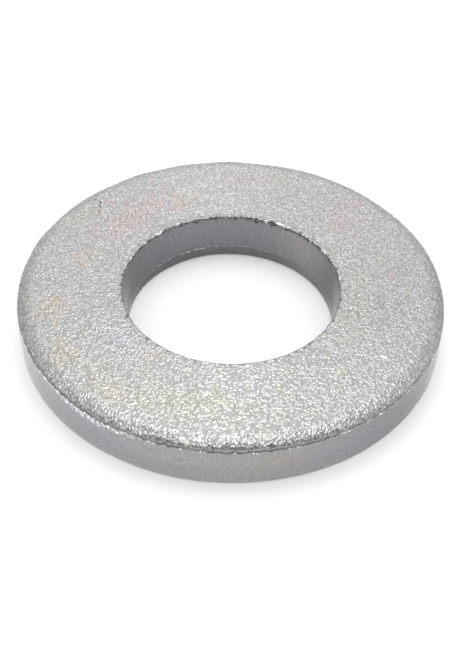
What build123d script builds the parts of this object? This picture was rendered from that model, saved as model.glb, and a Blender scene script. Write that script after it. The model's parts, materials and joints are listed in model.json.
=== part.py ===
"""Flat round washer, punched from thick hardened steel plate and zinc plated.

The washer is one piece of metal, so it is one solid in one node. Its shape is a section turned once
about the hole's axis. Nothing on it moves.

Two punching strokes leave their marks on that section, and they run in opposite directions:

* the hole is pierced from the underside, so its edge is drawn in there, a short smooth land follows,
  and above the land the metal tears and the hole opens out towards a sharp mouth in the upper face;
* the outside is blanked from the other side, so its upper edge is drawn down, a smooth land follows,
  and below the land the torn rim leans in slightly to a small tumbled edge.

Frame, in millimetres: the origin is on the hole's axis in the plane of the lower bearing face, and +Z
runs along the axis to the upper bearing face.
"""

from build123d import *

import math
import os

# Driving dimensions: a half inch structural washer.
OUTER_DIAMETER = 27.7
HOLE_DIAMETER = 13.5
THICKNESS = 3.2

# The pierced hole, from the underside up.
HOLE_DRAW_WIDTH = 0.22
HOLE_DRAW_DEPTH = 0.12
HOLE_LAND_TOP = 0.80
HOLE_MOUTH_DIAMETER = 14.2
HOLE_MOUTH_BREAK = 0.06

# The blanked rim, from the upper face down.
RIM_DRAW_WIDTH = 0.65
RIM_DRAW_DEPTH = 0.45
RIM_LAND_BOTTOM = 1.25
RIM_LEAN = 0.04
RIM_FOOT_RADIUS = 0.12

# Worked out from the driving dimensions.
outer_radius = OUTER_DIAMETER / 2
hole_radius = HOLE_DIAMETER / 2
mouth_radius = HOLE_MOUTH_DIAMETER / 2
foot_radius = outer_radius - RIM_LEAN


def drawn_edge_middle(start, across, down):
    """The middle point of a drawn-in edge: an arc that leaves a bearing face level and falls away.

    start is the arc's first point (radius, height), on the bearing face. across and down are signed,
    and go from there to the arc's last point. The arc's radius follows from the two, because its
    centre lies straight below or above start.
    """
    bend = (across**2 + down**2) / (2 * abs(down))
    half_turn = math.asin(abs(across) / bend) / 2
    sideways = math.copysign(bend * math.sin(half_turn), across)
    fall = math.copysign(bend * (1 - math.cos(half_turn)), down)
    return (start[0] + sideways, start[1] + fall)


def hole_side():
    """The section's line through the hole, as edges from the lower face to the upper face."""
    face_edge = (hole_radius + HOLE_DRAW_WIDTH, 0)
    land_foot = (hole_radius, HOLE_DRAW_DEPTH)
    land_top = (hole_radius, HOLE_LAND_TOP)
    mouth = (mouth_radius, THICKNESS - HOLE_MOUTH_BREAK)
    mouth_lip = (mouth_radius + HOLE_MOUTH_BREAK, THICKNESS)
    draw = drawn_edge_middle(face_edge, -HOLE_DRAW_WIDTH, HOLE_DRAW_DEPTH)
    return [
        ThreePointArc(face_edge, draw, land_foot),
        Line(land_foot, land_top),
        Line(land_top, mouth),
        Line(mouth, mouth_lip),
    ]


def rim_side():
    """The section's line down the rim, as edges from the upper face to the lower face."""
    face_edge = (outer_radius - RIM_DRAW_WIDTH, THICKNESS)
    land_top = (outer_radius, THICKNESS - RIM_DRAW_DEPTH)
    land_foot = (outer_radius, RIM_LAND_BOTTOM)
    foot_top = (foot_radius, RIM_FOOT_RADIUS)
    foot_bottom = (foot_radius - RIM_FOOT_RADIUS, 0)
    slant = RIM_FOOT_RADIUS * (1 - math.sqrt(0.5))
    draw = drawn_edge_middle(face_edge, RIM_DRAW_WIDTH, -RIM_DRAW_DEPTH)
    return [
        ThreePointArc(face_edge, draw, land_top),
        Line(land_top, land_foot),
        Line(land_foot, foot_top),
        ThreePointArc(foot_top, (foot_radius - slant, slant), foot_bottom),
    ]


def washer_section():
    """The washer's cross-section on one side of the axis, as a closed face in the XZ plane."""
    hole = hole_side()
    rim = rim_side()
    upper_face = Line(hole[-1] @ 1, rim[0] @ 0)
    lower_face = Line(rim[-1] @ 1, hole[0] @ 0)
    outline = Wire([*hole, upper_face, *rim, lower_face])
    return Plane.XZ * make_face(outline.edges())


def washer():
    """The washer: its section turned a full circle about the hole's axis."""
    return revolve(washer_section(), Axis.Z)


def main():
    os.makedirs("parts", exist_ok=True)
    body = washer()
    print("washer volume", round(body.volume, 1), "mm3, size", body.bounding_box().size)
    export_step(body, "parts/washer.step")


main()
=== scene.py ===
# %% [markdown]
# # A punched and zinc-plated flat washer
#
# A flat washer is one ring of steel, but it isn't a plain ring. A press punches it out of plate in
# two strokes, a drum full of stones tumbles it, and a bath plates it with zinc. Each of those leaves
# marks, and the marks are what makes it look like metal and not like a drawing of a washer. This
# lesson builds the one piece in the order in which the shop makes it: the section, the torn and
# drawn edges, the tumbled skin, the plating, and then the studio around it.

import json
import math

import bpy
import numpy as np
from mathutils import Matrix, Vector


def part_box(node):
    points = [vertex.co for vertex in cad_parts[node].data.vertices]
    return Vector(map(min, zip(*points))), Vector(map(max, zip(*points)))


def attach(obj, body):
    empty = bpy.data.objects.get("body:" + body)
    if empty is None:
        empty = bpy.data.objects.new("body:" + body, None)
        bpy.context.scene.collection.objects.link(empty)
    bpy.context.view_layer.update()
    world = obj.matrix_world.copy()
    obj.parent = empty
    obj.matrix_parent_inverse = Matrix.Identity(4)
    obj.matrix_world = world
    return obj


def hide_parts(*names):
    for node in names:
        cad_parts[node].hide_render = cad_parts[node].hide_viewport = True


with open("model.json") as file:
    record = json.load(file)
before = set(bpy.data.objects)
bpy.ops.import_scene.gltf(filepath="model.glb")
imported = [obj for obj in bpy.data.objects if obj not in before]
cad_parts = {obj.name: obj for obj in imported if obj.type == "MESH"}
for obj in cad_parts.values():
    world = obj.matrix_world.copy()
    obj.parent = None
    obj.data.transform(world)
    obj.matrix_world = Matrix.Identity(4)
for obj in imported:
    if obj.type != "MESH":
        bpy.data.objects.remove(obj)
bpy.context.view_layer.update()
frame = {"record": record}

MM = 0.001
FULL_TURN = 2 * math.pi

high_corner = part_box("washer")[1]
outer_radius = high_corner.x / MM
thickness = high_corner.z / MM
bore = next(mount for mount in frame["record"]["mounts"] if mount["name"] == "bore")
hole_radius = bore["dims"]["r_mm"]
print(f"washer: {2 * outer_radius:.2f} mm across, {2 * hole_radius:.2f} mm hole, {thickness:.2f} mm thick")

# %% [markdown]
# ## Random lines and random skins
#
# Torn metal wanders. A line that wanders around a ring has to meet itself again after one turn, so
# each line here is a sum of cosines with whole numbers of waves per turn. A skin has to be seamless
# all over, so it is a sum of plane waves in space, read at each point of the surface. Blender's
# Displace modifier with a cloud texture could do the same, but a sum of waves says exactly how long
# and how high its waves are, and that is what a maker can measure on the real part.


# %% Random helpers
def wander(turn, fewest, most, seed, waves=48):
    """A random line around the ring: the sum of cosines of whole-number frequencies between fewest and
    most waves per turn, each with a random size and start, scaled to a spread of one."""
    draw = np.random.default_rng(seed)
    frequency = draw.integers(fewest, most + 1, waves)[:, None]
    start = draw.uniform(0, FULL_TURN, waves)[:, None]
    size = draw.normal(size=waves)[:, None]
    line = (size * np.cos(frequency * turn + start)).sum(0)
    return line / line.std()


def skin(points, wavelength, seed, waves=56):
    """A random field in space: the sum of plane cosines in random directions, with wavelengths within
    a third of the one given, read at each point and scaled to a spread of about one."""
    draw = np.random.default_rng(seed)
    direction = draw.normal(size=(waves, 3))
    direction /= np.linalg.norm(direction, axis=1)[:, None]
    pitch = wavelength * draw.uniform(0.67, 1.33, waves)[:, None]
    start = draw.uniform(0, FULL_TURN, waves)
    return np.cos(points @ (direction * FULL_TURN / pitch).T + start).sum(-1) * math.sqrt(2 / waves)


def window(turn, middle, half_width):
    """A smooth bump around the ring: one at middle, a bell that falls to a tenth or so at half_width to
    either side. Both are in degrees, anticlockwise from +X."""
    away = (np.degrees(turn) - middle + 180) % 360 - 180
    return np.exp(-2.3 * (away / half_width) ** 2)


# %% [markdown]
# ## The section, as a list of rings
#
# A lathe turns one profile. This profile changes a little all the way round, so instead of one
# outline there is a list of rings, each with a radius and a height at every column of the grid, and
# rows of points run from each ring to the next. Where the metal was torn, the ring wanders. Each
# ring also says how much tumbled grain its metal has, and how bright its metal is painted, which
# holds painted shade and painted light besides the zinc's own tone, and rows between two rings blend
# the two values.
#
# Two plain lines go round with the rest: steady is one everywhere, and spreads a single number over all
# columns, and facing is one at the near side of the ring and nought at the far side.

# %% The columns
COLUMNS = 580
turn = np.arange(COLUMNS) * FULL_TURN / COLUMNS
steady = np.ones(COLUMNS)
facing = 0.5 - 0.5 * np.sin(turn)
print(f"one column every {FULL_TURN * outer_radius / COLUMNS:.2f} mm of the rim")

# %% [markdown]
# The mouth of the hole is where the punch broke through. Its edge wanders in slow and fast waves, it
# has lost chips, and it has thrown up a burr that the drum has smeared over the face in bright flakes.
# The near part of this washer's hole came out nearly smooth, so all four fade there. Lower down, the
# land ends in a tiny ledge that shows in some stretches and is broken by gaps.
#
# A cloud texture on the edge could roughen it too. Written as lines, each fault has its own strength
# and its own stretch of the ring, and the other cells can use it again, as the flakes do.

# %% The wandering mouth of the hole
MOUTH_WANDER = 0.022
ragged = 0.25 + 0.75 * np.clip(0.5 + np.sin(turn), 0, 1)
mouth_tear = ragged * (0.8 * wander(turn, 9, 50, seed=11) + 0.5 * wander(turn, 60, 150, seed=14))
mouth_chips = ragged * np.clip(wander(turn, 12, 90, seed=12) - 0.9, 0, None)
mouth_burr = ragged * np.clip(wander(turn, 9, 70, seed=13), 0, 1.6)
flake_places = 0.6 + window(turn, 50, 30) + 0.5 * window(turn, 130, 25)
mouth_flakes = ragged * np.clip(wander(turn, 6, 60, seed=15) - 0.1, 0, 1.5) * flake_places
land_line = wander(turn, 4, 40, seed=31)
land_gaps = np.clip(0.5 + wander(turn, 12, 110, seed=32), 0, None)
land_shows = window(turn, 119, 26) + 0.6 * window(turn, 69, 8) + 0.15
print(f"mouth wanders by {MOUTH_WANDER * np.abs(mouth_tear).max():.3f} mm")

# %% [markdown]
# Down the rim, the drawn-in roll ends in a crease, and under the crease lies a lip of smeared metal.
# The crease reaches furthest up the roll on the left of the near side and again on the right. At one
# place the press galled the lip into a wider bright strip, whose brightness is partly smeared metal
# and partly a painted glint, and painted glints fleck the rest of the lip. Modelling these by hand
# would take a vertex at a time. Here each is a line round the ring that the section reads.

# %% The wandering crease and lip of the rim
crease_line = wander(turn, 3, 26, seed=21)
crease_teeth = wander(turn, 60, 190, seed=22)
crease_reach = 0.45 + 0.80 * window(turn, 205, 42) + 0.35 * window(turn, 335, 32)
crease_depth = crease_reach * np.clip(0.6 + 0.6 * wander(turn, 8, 90, seed=23), 0.0, 1.6)
lip_teeth = wander(turn, 50, 180, seed=24)
# Painted glints: bright flecks on the lip.
lip_painted_glints = np.clip(wander(turn, 30, 180, seed=25) - 0.3, 0, 1)
# galled: a wider strip of the lip, reshaped here, whose brightness is later partly a painted glint.
galled = window(turn, 232, 22)
print(f"crease reach from {crease_reach.min():.2f} to {crease_reach.max():.2f}")

# %% [markdown]
# These are painted light and painted shade. The face, the bore, the edge of the face and the side are
# each painted lighter where more light falls on them and darker where less falls, slowly round the
# ring.

# %% The painted light and shade round the ring
# Painted light and shade: each line below makes its surface lighter and darker round the ring by where the
# light falls on it.
face_painted_light_and_shade = 1 + 0.09 * window(turn, 98, 35) + 0.06 * window(turn, 267, 28)
face_painted_light_and_shade = face_painted_light_and_shade - 0.075 * window(turn, 352, 50) - 0.03 * window(turn, 185, 35)
bore_painted_light_and_shade = 1.05 + 0.30 * window(turn, 44, 28)
bore_painted_light_and_shade = bore_painted_light_and_shade - 0.66 * window(turn, 192, 52) - 0.42 * window(turn, 11, 24)
edge_painted_shade = 1.0 - 0.30 * window(turn, 357, 28) - 0.30 * window(turn, 195, 36)
side_painted_shade = 1.03 - 0.38 * window(turn, 330, 45) - 0.05 * window(turn, 215, 30)
print(f"bore shade from {bore_painted_light_and_shade.min():.2f} to {bore_painted_light_and_shade.max():.2f}")

# %% [markdown]
# The hole was pierced from below. From the bottom up it has a small drawn-in edge, a smooth land, a
# tiny ledge where the land ends and the steel began to tear, a torn cone that opens upwards, and a
# ragged mouth with a thin burr. The outside was blanked from the other side: from the top down it
# has a broad drawn-in roll that bends more steeply past a knee, a crease where plate and land part, a
# lip of smeared metal, a smooth land, and a slightly leaning foot with a tumbled edge.

# %% The sizes of the section
DRAWN_HOLE = 0.22
DRAWN_HOLE_HEIGHT = 0.12
LAND_TOP = 0.80
LAND_WANDER = 0.025
LEDGE_WIDTH = 0.030
MOUTH_RADIUS = 7.10
CHIP_DEPTH = 0.03
BURR_LEAST = 0.003
BURR_GROWTH = 0.014
ROLL_WIDTH = 1.00
KNEE_WIDTH = 0.35
KNEE_DEPTH = 0.115
ROLL_DEPTH = 0.45
CREASE_RISE = 0.06
CREASE_INSET = 0.075
CREASE_BITE = 0.05
LIP_INSET = 0.012
LIP_DROP = 0.07
LIP_THICKNESS = 0.05
RIM_LAND_BOTTOM = 1.25
FOOT_RADIUS = outer_radius - 0.04
FOOT_BREAK = 0.12
FACE_BRIGHTNESS = 0.50
# The bore is painted darker than the face, as painted shade.
BORE_BRIGHTNESS = 0.20

ledge = LEDGE_WIDTH * land_shows * land_gaps
land_height = LAND_TOP + LAND_WANDER * land_line
mouth = MOUTH_RADIUS + MOUTH_WANDER * mouth_tear
mouth_drop = CHIP_DEPTH * mouth_chips
burr = BURR_LEAST + BURR_GROWTH * mouth_burr
crease_teeth = 0.030 * crease_teeth * (0.15 + facing)
crease_height = thickness - ROLL_DEPTH + CREASE_RISE + 0.020 * crease_line + crease_teeth
crease_radius = outer_radius - CREASE_INSET - CREASE_BITE * crease_depth
crease_edge_height = crease_height + 0.01 + 0.12 * crease_reach
# Painted shade: the crease and its edge are painted darker the deeper the crease is, and the knee and the
# roll end darker than the face, darker still at the far left and right. The roll end is painted a little
# lighter on the near side, as painted light.
crease_edge_painted_shade = 0.37 - 0.24 * crease_depth
knee_painted_shade = 0.395 * (0.4 + 0.6 * edge_painted_shade)
roll_end_height = crease_height + 0.10 + 0.09 * crease_reach
roll_end_grain = 0.45 + 0.45 * facing
roll_end_painted_shade = (0.37 + 0.05 * facing) * edge_painted_shade
lip_height = crease_height - LIP_DROP - 0.05 * galled - 0.012 * lip_teeth
lip_radius = outer_radius - LIP_INSET - 0.02 * galled + 0.006 * lip_teeth
lip_foot = lip_height - LIP_THICKNESS - 0.16 * galled - 0.03 * np.clip(lip_teeth, 0, None)
print(f"crease {thickness - crease_height.mean():.2f} mm below the face, burr up to {burr.max():.3f} mm")

# %% [markdown]
# The table has one line per ring, in order round the section: up through the hole, out across the
# face, down the rim and back under the washer. Rows are packed where a shape is small, at the mouth
# and at the crease, and are further apart on the plain stretches, so that the whole ring stays under
# 200,000 triangles.

# %% The rings
# Brightness holds painted light and shade: the bore, the mouth, the knee, the roll, the crease and the
# side are painted darker than the face, the ledge is a painted highlight, and the side is painted lighter
# towards the foot.
# name, radius, height, grain, brightness, rows up to the next ring, how far those rows bow out
RINGS = [
    ("drawn edge", hole_radius + DRAWN_HOLE, 0, 0.6, 0.40, 6, 0.14),
    ("land foot", hole_radius, DRAWN_HOLE_HEIGHT, 0.1, BORE_BRIGHTNESS * bore_painted_light_and_shade, 8, 0),
    ("land top", hole_radius, land_height, 0.1, BORE_BRIGHTNESS * bore_painted_light_and_shade, 3, 0),
    ("ledge", hole_radius + ledge, land_height + 0.02, 0.1, BORE_BRIGHTNESS + ledge * 17, 3, 0),
    ("tear start", hole_radius + 0.02, land_height + 0.08, 0.15, 0.21 * bore_painted_light_and_shade, 21, 0),
    ("torn wall", MOUTH_RADIUS - 0.045, thickness - 0.30, 0.2, 0.25 * bore_painted_light_and_shade, 3, 0),
    ("under the mouth", mouth - 0.02 + mouth_drop, thickness - 0.10, 0.3, 0.22, 3, 0),
    ("mouth", mouth, thickness - 0.035 + burr * 0.4, 0.5, 0.20, 3, 0.15),
    ("burr", mouth + 0.05, thickness + burr, 0.6, 0.34, 3, 0.1),
    ("burr foot", mouth + 0.16 + 0.05 * mouth_flakes, thickness, 0.9, 0.48, 5, 0),
    ("face", mouth + 0.50, thickness, 1.0, FACE_BRIGHTNESS * face_painted_light_and_shade, 38, 0),
    ("roll start", outer_radius - ROLL_WIDTH, thickness, 1.0, FACE_BRIGHTNESS * face_painted_light_and_shade, 11, 0.035),
    ("knee", outer_radius - KNEE_WIDTH, thickness - KNEE_DEPTH, 0.95, knee_painted_shade, 6, 0.055),
    ("roll end", outer_radius - 0.075, roll_end_height, roll_end_grain, roll_end_painted_shade, 3, 0),
    ("crease edge", outer_radius - 0.055, crease_edge_height, 0.9, crease_edge_painted_shade, 4, 0),
    ("crease", crease_radius, crease_height, 0.6, 0.25 - 0.12 * crease_depth, 4, 0),
    ("lip", lip_radius, lip_height, 0.5, 0.38, 4, 0.1),
    ("lip foot", outer_radius, lip_foot, 0.15, 0.39 * side_painted_shade, 13, 0),
    ("rim land foot", outer_radius, RIM_LAND_BOTTOM, 0.1, 0.415 * side_painted_shade, 10, 0),
    ("foot", FOOT_RADIUS, FOOT_BREAK, 0.15, 0.50 * side_painted_shade, 5, 0.2),
    ("lower face", FOOT_RADIUS - FOOT_BREAK, 0, 0.8, 0.50, 14, 0),
]
print(len(RINGS), "rings,", sum(ring[5] for ring in RINGS), "rows")

# %% [markdown]
# ## From rings to a grid
#
# The rows between two rings are straight blends of the two. A bow pushes the middle of the blend out
# along the section's own normal by a parabola, which is close to an arc for the shallow bends that a
# press makes. Rows and columns wrap round, so the grid closes on itself like a tube bent into a ring:
# no seam, no pole and no open edge.


# %% Rows between rings
def rows_between(first, second):
    """Rows from one ring to the next: (1 - t) of the first and t of the second, plus bow times the
    distance between them times 4 t (1 - t), outwards along the section's normal. The second ring
    itself is left out. Gives radius, height, grain and brightness, each rows by columns."""
    count, bow = first[5], first[6]
    t = (np.arange(count) / count)[:, None]
    here = [steady * value for value in first[1:5]]
    there = [steady * value for value in second[1:5]]
    radius, height, grain, brightness = ((1 - t) * a + t * b for a, b in zip(here, there))
    arch = 4 * t * (1 - t) * bow
    along_radius = there[0] - here[0]
    along_height = there[1] - here[1]
    return radius - arch * along_height, height + arch * along_radius, grain, brightness


blocks = [rows_between(ring, RINGS[(i + 1) % len(RINGS)]) for i, ring in enumerate(RINGS)]
radius, height, grain, brightness = (np.concatenate(parts) for parts in zip(*blocks))
points = np.stack([radius * np.cos(turn), radius * np.sin(turn), height], axis=-1)
print("grid of", radius.shape[0], "rows by", radius.shape[1], "columns")

# %% [markdown]
# ## The tumbled skin
#
# Stones in the drum pebble the faces: shallow waves about a millimetre long and a few thousandths
# high, with shorter ones on them. The sheared walls keep only faint, long ripples. These waves are in
# the mesh, because their shadows and outlines count. The finest pebbling is a quarter of a millimetre
# long, finer than the grid can hold, and is left to the plating's bump.
#
# Three more things are worked out here, because they need every point's place. Scars are small dark
# pits beside the mouth of the hole. Scuffs are soft lighter and darker patches where washers in the
# drum knocked the edge of the face. Smear and glints says how much bright metal was dragged over a
# place: along the lip of the rim, most where it is galled, and around the mouth; on the lip this
# brightness is partly a painted glint. The rings give their brightness as a share of the clean
# zinc's, so all of it is scaled down once, by what clean zinc reflects.

# %% Push the skin in and out
def section_normals(grid):
    """Unit normals of the grid: the cross product of the differences between neighbours along the rows
    and along the columns, both wrapped round, pointing out of the metal."""
    down_rows = np.roll(grid, -1, 0) - np.roll(grid, 1, 0)
    along_columns = np.roll(grid, -1, 1) - np.roll(grid, 1, 1)
    normal = np.cross(along_columns, down_rows)
    return normal / np.linalg.norm(normal, axis=-1)[..., None]


ZINC = 0.86
near_mouth = np.exp(-((radius - MOUTH_RADIUS - 0.12) / 0.22) ** 2) * (height > thickness - 0.15)
scars = near_mouth * np.clip(skin(points, 0.42, seed=45) - 0.5, 0, 1.2)
near_edge = (radius > outer_radius - 0.25) * (height > thickness - 0.5)
scuffs = near_edge * grain * np.clip(skin(points, 0.32, seed=46), -1.2, 1.6)
brightness = ZINC * brightness * (1 - 0.45 * scars) * (1 + 0.15 * scuffs)
pebbles = 0.0020 * skin(points, 1.15, seed=41) + 0.0016 * skin(points, 0.55, seed=42)
ripples = 0.0030 * skin(points * (1, 1, 0.35), 1.0, seed=43)
swell = 0.006 * skin(points, 6.0, seed=44, waves=16)
rim_band = np.exp(-(((height - lip_height + 0.13 * galled) / (0.05 + 0.16 * galled)) ** 4))
rim_band = rim_band * (radius > outer_radius - 0.06)
mouth_band = np.exp(-(((radius - MOUTH_RADIUS - 0.04) / 0.11) ** 2)) * (height > thickness - 0.12)
# Smeared metal at the mouth and along the lip, with painted glints on the lip.
smear = rim_band * (galled + lip_painted_glints) + 0.9 * mouth_band * mouth_flakes
push = grain * pebbles + (1 - grain) * ripples + swell - 0.020 * scars
normals = section_normals(points)
points = points + normals * push[..., None]
points[..., 2] = np.maximum(points[..., 2], 0)
print(f"skin moved by {push.min():.3f} to {push.max():.3f} mm")

# %% [markdown]
# ## Grid to mesh
#
# Each cell of the grid is one quad between four neighbours. Three numbers go along with every point,
# as attributes that the plating can read: how much grain the metal has there, how bright it is
# painted, painted shade and painted light included, and how much metal is smeared over it, with
# painted glints on the lip.


# %% Make the mesh
def ring_mesh(name, grid, layers):
    """A closed mesh from a grid that wraps both ways. Quad (i, j) joins point (i, j), its neighbour in
    the next column, the one in the next row and column, and the one in the next row."""
    rows, columns = grid.shape[:2]
    number = np.arange(rows * columns).reshape(rows, columns)
    next_row = np.roll(number, -1, 0)
    corners = [number, np.roll(number, -1, 1), np.roll(next_row, -1, 1), next_row]
    quads = np.stack(corners, axis=-1).reshape(-1, 4)
    mesh = bpy.data.meshes.new(name)
    mesh.from_pydata((grid * MM).reshape(-1, 3).tolist(), [], quads.tolist())
    for layer, values in layers.items():
        attribute = mesh.attributes.new(layer, "FLOAT", "POINT")
        attribute.data.foreach_set("value", values.astype(np.float32).ravel())
    mesh.polygons.foreach_set("use_smooth", np.ones(len(quads), bool))
    mesh.update()
    return mesh


# %% [markdown]
# ## Stains of the passivate
#
# The clear passivate over the zinc is thinner than a wavelength of light, so where it dried unevenly it
# shows faint colours. Each stain here has a place on the ring, a length along it and a width across
# it, and a random skin frays its edge. The bore dried bluish on one side and greenish on the other.
# Noise in the material could cloud the colours too, but it couldn't say where each cloud lies. The
# tint is worked out per point instead, and travels with the mesh as a colour attribute.

# %% Tint the points
ROSE = (1.10, 0.96, 0.95)
STRAW = (1.03, 1.015, 0.86)
LEAF = (0.985, 1.02, 0.93)
BLUE = (0.965, 0.985, 1.04)
AMBER = (1.08, 0.99, 0.88)

# colour, strength, degrees round the ring, radius, height, length along the ring, width across it
STAINS = [
    (ROSE, 1.0, 135, 9.6, thickness, 3.2, 1.1),
    (ROSE, 0.8, 43, 10.0, thickness, 1.5, 0.9),
    (ROSE, 0.5, 47, 12.3, thickness, 1.6, 0.8),
    (ROSE, 0.6, 7, 10.7, thickness, 0.7, 0.4),
    (ROSE, 0.3, 84, 11.4, thickness, 3.0, 1.2),
    (ROSE, 0.4, 190, 10.8, thickness, 1.2, 0.8),
    (AMBER, 0.6, 110, 9.4, thickness, 0.8, 0.7),
    (AMBER, 0.6, 147, 12.5, thickness, 1.0, 0.6),
    (AMBER, 0.6, 163, 9.9, thickness, 0.9, 0.6),
    (AMBER, 0.7, 193, 12.2, thickness, 0.9, 0.8),
    (AMBER, 0.7, 211, 12.2, thickness, 1.2, 0.7),
    (AMBER, 0.6, 235, 11.9, thickness, 1.0, 0.5),
    (AMBER, 0.7, 234, 8.0, thickness, 0.6, 0.5),
    (STRAW, 0.35, 238, 11.3, thickness, 6.5, 1.6),
    (STRAW, 0.35, 262, 10.2, thickness, 2.6, 0.9),
    (LEAF, 0.45, 286, 12.0, thickness, 5.0, 2.2),
    (LEAF, 0.5, 343, 8.8, thickness, 3.4, 1.4),
    (LEAF, 0.5, 70, 11.6, thickness, 1.6, 0.7),
    (BLUE, 0.6, 162, 11.6, thickness, 1.2, 1.0),
    (BLUE, 0.6, 218, 9.0, thickness, 1.3, 0.9),
    (BLUE, 0.5, 58, 10.2, thickness, 1.4, 0.6),
    (BLUE, 0.9, 115, hole_radius, 1.8, 9.0, 1.6),
    (LEAF, 0.9, 10, hole_radius, 1.8, 5.0, 1.6),
    (AMBER, 0.5, 47, MOUTH_RADIUS, 2.6, 1.0, 0.6),
    (AMBER, 0.7, 284, outer_radius, 1.9, 1.6, 0.6),
    (STRAW, 0.35, 257, outer_radius, 1.8, 1.6, 0.8),
    (LEAF, 0.35, 275, outer_radius, 1.2, 1.4, 0.7),
    (BLUE, 0.4, 268, outer_radius, 1.6, 4.0, 1.4),
    (BLUE, 0.8, 236, outer_radius, 1.8, 3.0, 1.2),
    (BLUE, 0.8, 305, outer_radius, 1.6, 6.0, 1.4),
]


def stain_weight(angle, at_radius, at_height, length, width):
    """How much of a stain each point has: exp(-d^3), where d is the distance from the stain's place in
    lengths along the ring and widths across it, made longer and shorter by a random skin."""
    along = at_radius * np.radians((np.degrees(turn) - angle + 180) % 360 - 180)
    across = np.hypot(radius - at_radius, height - at_height)
    distance = np.hypot(along / length, across / width)
    return np.exp(-((distance * (1 + 0.28 * fraying)) ** 3))


fraying = np.clip(skin(points, 1.4, seed=51) + 0.6 * skin(points, 0.5, seed=52), -2.5, 2.5)
tint = np.ones(points.shape)
for colour, strength, *place in STAINS:
    tint *= 1 + strength * stain_weight(*place)[..., None] * (np.array(colour) - 1)
print(len(STAINS), "stains; tint from", tint.min().round(3), "to", tint.max().round(3))

# %% [markdown]
# ## The piece itself
#
# The mesh gets its three numbers and the tint, and its object rides the one rigid body there is. The
# mesh is already in its place, so the object stays at the origin, unturned and unscaled.

# %% The washer's object
mesh = ring_mesh("punched_washer", points, {"grain": grain, "brightness": brightness, "smear": smear})
film = mesh.attributes.new("film", "FLOAT_COLOR", "POINT")
film.data.foreach_set("color", np.concatenate([tint, np.ones(tint.shape[:2] + (1,))], -1).ravel())
washer = bpy.data.objects.new("punched_washer", mesh)
bpy.context.scene.collection.objects.link(washer)
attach(washer, "root")
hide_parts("washer")
print(len(mesh.polygons), "quads,", 2 * len(mesh.polygons), "triangles")

# %% [markdown]
# ## Shader arithmetic
#
# A material is a graph of nodes, and a graph is hard to read in a script. The class below wraps one
# output of a node, so that a sum, a product or a difference is written as a Python expression, and
# each one adds its Math node. The method called node adds any other kind, and the rest are short names
# for what comes up often.


# %% The signal class
class Signal:
    """One output of a node in a tree. Arithmetic on it adds Math nodes."""

    def __init__(self, tree, socket=None):
        self.tree = tree
        self.socket = socket

    def node(self, kind, settings=(), values=(), out=0):
        """Adds a node of a kind, makes its settings, gives its inputs their values or links, and returns
        one of its outputs. Inputs are named, or numbered where a node has several of one name."""
        made = self.tree.nodes.new(kind)
        for name, value in dict(settings).items():
            setattr(made, name, value)
        for name, value in dict(values).items():
            if isinstance(value, Signal):
                self.tree.links.new(value.socket, made.inputs[name])
            else:
                made.inputs[name].default_value = value
        return Signal(self.tree, made.outputs[out])

    def math(self, operation, *values):
        return self.node("ShaderNodeMath", {"operation": operation}, enumerate(values))

    def vector(self, operation, values, out=0):
        return self.node("ShaderNodeVectorMath", {"operation": operation}, values, out)

    def attribute(self, name, out=2):
        """A value that the mesh carries at every point: its number, or with out=0 its colour."""
        return self.node("ShaderNodeAttribute", {"attribute_name": name}, out=out)

    def __add__(self, other):
        return self.math("ADD", self, other)

    def __sub__(self, other):
        return self.math("SUBTRACT", self, other)

    def __mul__(self, other):
        return self.math("MULTIPLY", self, other)

    def __rsub__(self, other):
        return self.math("SUBTRACT", other, self)

    __radd__ = __add__
    __rmul__ = __mul__

    def above(self, low, high):
        """Nought below low, one above high, and a smooth step between them."""
        values = {"Value": self, "From Min": low, "From Max": high}
        return self.node("ShaderNodeMapRange", {"interpolation_type": "SMOOTHSTEP"}, values)

    def stroke(self, begin, end, width):
        """One on a straight scratch between two places and nought a width away from it: this place's
        distance from the nearest point of the segment, through a smooth step."""
        begin, end = np.array(begin), np.array(end)
        along = end - begin
        offset = self.vector("SUBTRACT", {0: self, 1: begin})
        share = self.vector("DOT_PRODUCT", {0: offset, 1: along}, out=1)
        share = self.math("DIVIDE", share, along @ along)
        share = self.math("MINIMUM", self.math("MAXIMUM", share, 0), 1)
        nearest = self.vector("SCALE", {0: along, "Scale": share})
        distance = self.vector("DISTANCE", {0: offset, 1: nearest}, out=1)
        return 1 - distance.above(0.35 * width, width)

    def noise(self, place, per_mm, detail=2.0, roughness=0.5, distortion=0.0):
        """A cloud pattern with about so many cells per millimetre."""
        values = {"Vector": place, "Scale": per_mm, "Detail": detail, "Roughness": roughness}
        return self.node("ShaderNodeTexNoise", (), {**values, "Distortion": distortion})


# %% [markdown]
# ## The zinc
#
# Zinc over tumbled steel is a light grey metal. The drum leaves it covered in low ridges a quarter of
# a millimetre apart, and what sparkles are the flanks of the ridges whose slope happens to face a
# light. A ridge lies where a smooth noise passes through its middle value, and the height falls off
# with the noise's distance from that value. Stretching the noise draws the ridges out a little. The
# crests are painted brighter, partly as wear and partly as painted highlight, the valleys are painted
# darker as painted shade, and a few small spots get painted sparkles.
#
# A painted texture could show all this as well, but it would have to be unwrapped over the ring and
# would blur close up. Noise on Object coordinates needs no unwrapping and keeps its size in
# millimetres wherever it is looked at.
#
# A few marks from handling lie on the upper face: a dark hairline on the far left, a short scratch on
# the right and a bright chip on the near right. Each is a chain of straight strokes, shaken a little
# by a noise so that it isn't ruled.

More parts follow.
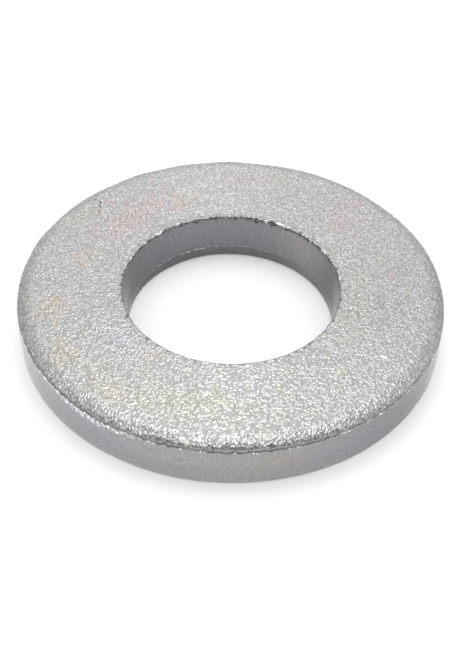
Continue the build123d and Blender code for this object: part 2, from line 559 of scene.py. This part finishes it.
# %% The handling marks
# begin and end in the upper face's plane, width, and how much brighter the mark is
MARKS = [
    ((-9.88, 8.83), (-9.58, 8.67), 0.08, -0.28),
    ((-9.58, 8.67), (-9.24, 8.34), 0.08, -0.32),
    ((-9.24, 8.34), (-9.31, 8.00), 0.09, -0.36),
    ((-9.31, 8.00), (-9.18, 7.73), 0.09, -0.36),
    ((-9.18, 7.73), (-9.41, 6.84), 0.08, -0.26),
    ((7.09, 3.49), (7.86, 3.25), 0.08, 0.22),
    ((8.95, -6.17), (9.52, -6.27), 0.09, 0.45),
    ((9.34, -6.20), (9.52, -6.27), 0.15, 0.60),
]


def handling_marks(place):
    """How much brighter the metal is for its marks: the sum over the strokes of shine times stroke. The
    place is first shaken by up to 0.15 mm either way, by a noise with cells of 0.4 mm."""
    jitter = place.node("ShaderNodeTexNoise", (), {"Vector": place, "Scale": 2.5, "Detail": 1.0}, 1)
    shift = place.vector("MULTIPLY_ADD", {0: jitter, 1: (0.3, 0.3, 0), 2: (-0.15, -0.15, 0)})
    shaken = place.vector("ADD", {0: place, 1: shift})
    marks = place.math("ADD", 0, 0)
    for begin, end, width, shine in MARKS:
        marks = marks + shine * shaken.stroke((*begin, thickness), (*end, thickness), width)
    return marks


print(len(MARKS), "strokes of handling marks")

# %% [markdown]
# The material below puts the finish together. The grain attribute decides between the two kinds of
# metal: ridges and painted sparkles where it is one, on the tumbled faces, and fine drag lines and a
# faint mottling where it is nought, on the sheared walls. Lengths inside are in millimetres, because
# Object coordinates are scaled up first.


# %% The plating
RIDGES_PER_MM = 4.6
RIDGE_HEIGHT = 0.089
GRIT_PER_MM = 11.0
FLAKE_HEIGHT = 0.015
FLAKE_AND_GLINT_SHINE = 0.62
PAINTED_SPARKLE_SHINE = 0.45


def zinc_plating(name):
    """Metal whose bump is ridges on the tumbled faces, fine drag lines on the sheared walls and raised
    flakes on the smeared metal. Its colour is the film's tint times a level: brightness, which holds
    painted light and shade, made lighter and darker by crests (wear and painted highlight), grit,
    painted sparkles, mottling and marks, plus what the flakes add, which on the lip is partly a painted
    glint."""
    material = bpy.data.materials.new(name)
    material.use_nodes = True
    tree = material.node_tree
    tree.nodes.clear()
    start = Signal(tree)
    grain = start.attribute("grain")
    brightness = start.attribute("brightness")
    smear = start.attribute("smear")
    film = start.attribute("film", out=0)
    metres = start.node("ShaderNodeTexCoord", out=3)
    place = start.vector("SCALE", {0: metres, "Scale": 1 / MM})
    flattened = start.vector("MULTIPLY", {0: place, 1: (1, 1, 0.12)})
    drawn_out = start.vector("MULTIPLY", {0: place, 1: (1.15, 0.72, 1)})

    folds = start.noise(drawn_out, RIDGES_PER_MM, detail=0.0, distortion=0.35) - 0.5
    depth = folds.math("ABSOLUTE", folds)
    grit = start.noise(place, GRIT_PER_MM, detail=0.0)
    drag = start.noise(flattened, 9.0, detail=1.0)
    flakes = start.noise(place, 6.5, detail=2.0).above(0.47, 0.58)
    pebbled = 0.005 * grit - RIDGE_HEIGHT * depth
    scored = 0.0070 * drag + 0.0040 * grit
    relief = pebbled * grain + scored * (1 - grain) + FLAKE_HEIGHT * smear * flakes
    bump = start.node("ShaderNodeBump", (), {"Strength": 1.0, "Distance": MM, "Height": relief})

    # Crests painted brighter, partly as wear and partly as painted highlight; valleys painted darker, as
    # painted shade.
    crests = 1 - depth.above(0.01, 0.11)
    mottle = start.noise(place, 6.0, detail=2.0)
    pebble_tone = grain * (0.37 * crests + 0.20 * grit - 0.35)
    wall_tone = (1 - grain) * (0.7 * mottle - 0.35)
    # Painted sparkles: small spots painted bright as highlights.
    painted_sparkles = start.noise(place, 5.0, detail=0.0).above(0.71, 0.79)
    tone = 1 + PAINTED_SPARKLE_SHINE * grain * painted_sparkles + pebble_tone + wall_tone + handling_marks(place)
    # The flakes' shine holds the painted glints on the lip.
    level = brightness * tone + FLAKE_AND_GLINT_SHINE * smear * flakes
    colour = start.vector("SCALE", {0: film, "Scale": level})

    roughness = 0.12 + 0.10 * grit
    values = {"Base Color": colour, "Metallic": 1.0, "Roughness": roughness, "Normal": bump}
    surface = start.node("ShaderNodeBsdfPrincipled", (), values)
    output = tree.nodes.new("ShaderNodeOutputMaterial")
    tree.links.new(surface.socket, output.inputs["Surface"])
    return material


mesh.materials.append(zinc_plating("zinc_plating"))
print("plating:", len(mesh.materials[0].node_tree.nodes), "nodes")

# %% [markdown]
# ## The studio
#
# A bright metal shows its surroundings, so the lights are most of its look. A white sweep lies under
# and around the washer. It glows faintly, so that it stays nearly white between the soft shadows.

# %% The sweep
SWEEP = 1.5
floor_mesh = bpy.data.meshes.new("sweep")
sweep_corners = [(-SWEEP, -SWEEP, 0), (SWEEP, -SWEEP, 0), (SWEEP, SWEEP, 0), (-SWEEP, SWEEP, 0)]
floor_mesh.from_pydata(sweep_corners, [], [(0, 1, 2, 3)])
floor = bpy.data.objects.new("sweep", floor_mesh)
bpy.context.scene.collection.objects.link(floor)

paper = bpy.data.materials.new("paper")
paper.use_nodes = True
paper_surface = paper.node_tree.nodes["Principled BSDF"]
paper_surface.inputs["Base Color"].default_value = (0.92, 0.91, 0.935, 1)
paper_surface.inputs["Emission Color"].default_value = (1, 1, 1, 1)
paper_surface.inputs["Emission Strength"].default_value = 0.18
paper_surface.inputs["Roughness"].default_value = 0.9
paper_surface.inputs["Specular IOR Level"].default_value = 0.1
floor_mesh.materials.append(paper)
print("sweep", 2 * SWEEP, "m across")

# %% [markdown]
# A soft box hangs overhead, a little towards the far side: ridges that lean towards the viewer catch
# it, which gives the sparkle on the near side, and the far side stays matte. A small, weak box, close
# by and just past the far edge, fills it in. Spot lights would make harder sparkles and hard shadows.
# An area light makes both soft.


# %% The soft boxes
def soft_box(name, place, size, watts):
    """A square area light at a place in metres, turned so that its face looks at the washer: tipped by
    the angle between straight down and the way to the washer, and then turned towards it."""
    light = bpy.data.lights.new(name, "AREA")
    light.shape = "SQUARE"
    light.size = size
    light.energy = watts
    lamp = bpy.data.objects.new(name, light)
    bpy.context.scene.collection.objects.link(lamp)
    lamp.location = place
    lamp.visible_camera = False
    tip = math.atan2(math.hypot(place[0], place[1]), place[2])
    lamp.rotation_euler = (tip, 0, math.atan2(place[0], -place[1]))
    print(f"{name} tipped by {math.degrees(tip):.0f} degrees")


soft_box("overhead_box", place=(0, 0.075, 0.27), size=0.12, watts=0.105)
soft_box("far_box", place=(0, 0.022, 0.044), size=0.020, watts=0.0007)

# %% [markdown]
# The air around is a soft white dome that is brighter a little above the horizon, dimmer at the top,
# and much dimmer high up on the near side, so that the roll of the near edge ends in shade. A picture
# of a studio could light the scene as well. Worked out from the direction alone, the dome needs no
# file.

# %% The air
world = bpy.data.worlds.new("air")
world.use_nodes = True
sky = Signal(world.node_tree)
heading = sky.node("ShaderNodeTexCoord", out=0)
upward = sky.node("ShaderNodeSeparateXYZ", (), {"Vector": heading}, out=2)
nearward = 1 - sky.node("ShaderNodeSeparateXYZ", (), {"Vector": heading}, out=1)
near_shade = 0.70 * upward.above(0.15, 0.6) * nearward.above(0.90, 1.38)
strength = 1.00 + 0.47 * upward.above(0.05, 0.38) - 0.22 * upward.above(0.55, 0.80) - near_shade
air = world.node_tree.nodes["Background"]
air.inputs["Color"].default_value = (1, 1, 1, 1)
world.node_tree.links.new(strength.socket, air.inputs["Strength"])
bpy.context.scene.world = world
bpy.context.scene.view_settings.view_transform = "Standard"
print("air:", len(world.node_tree.nodes), "nodes")

# %% [markdown]
# ## The camera
#
# The camera looks down at the washer from a little under 45 degrees, close enough for the near edge
# to be clearly larger than the far one, and it is turned by about a degree. Depth of field stays off,
# so that every view is sharp.

# %% Place the camera
ELEVATION = math.radians(43.75)
ROLL = math.radians(1.32)
DISTANCE = 81.6 * MM
camera_data = bpy.data.cameras.new("camera")
camera_data.lens = 68.14
camera_data.sensor_width = 36
camera_data.shift_x = 0.0034
camera_data.shift_y = -0.0023
camera_data.clip_start = 1 * MM
camera_data.dof.use_dof = False
camera = bpy.data.objects.new("camera", camera_data)
bpy.context.scene.collection.objects.link(camera)
camera.location = (0, -DISTANCE * math.cos(ELEVATION), DISTANCE * math.sin(ELEVATION))
camera.rotation_euler = (math.pi / 2 - ELEVATION, 0, 0)
camera.rotation_euler.rotate_axis("Z", ROLL)
bpy.context.scene.camera = camera
print(f"camera at {camera.location.y / MM:.1f} mm along Y and {camera.location.z / MM:.1f} mm up")
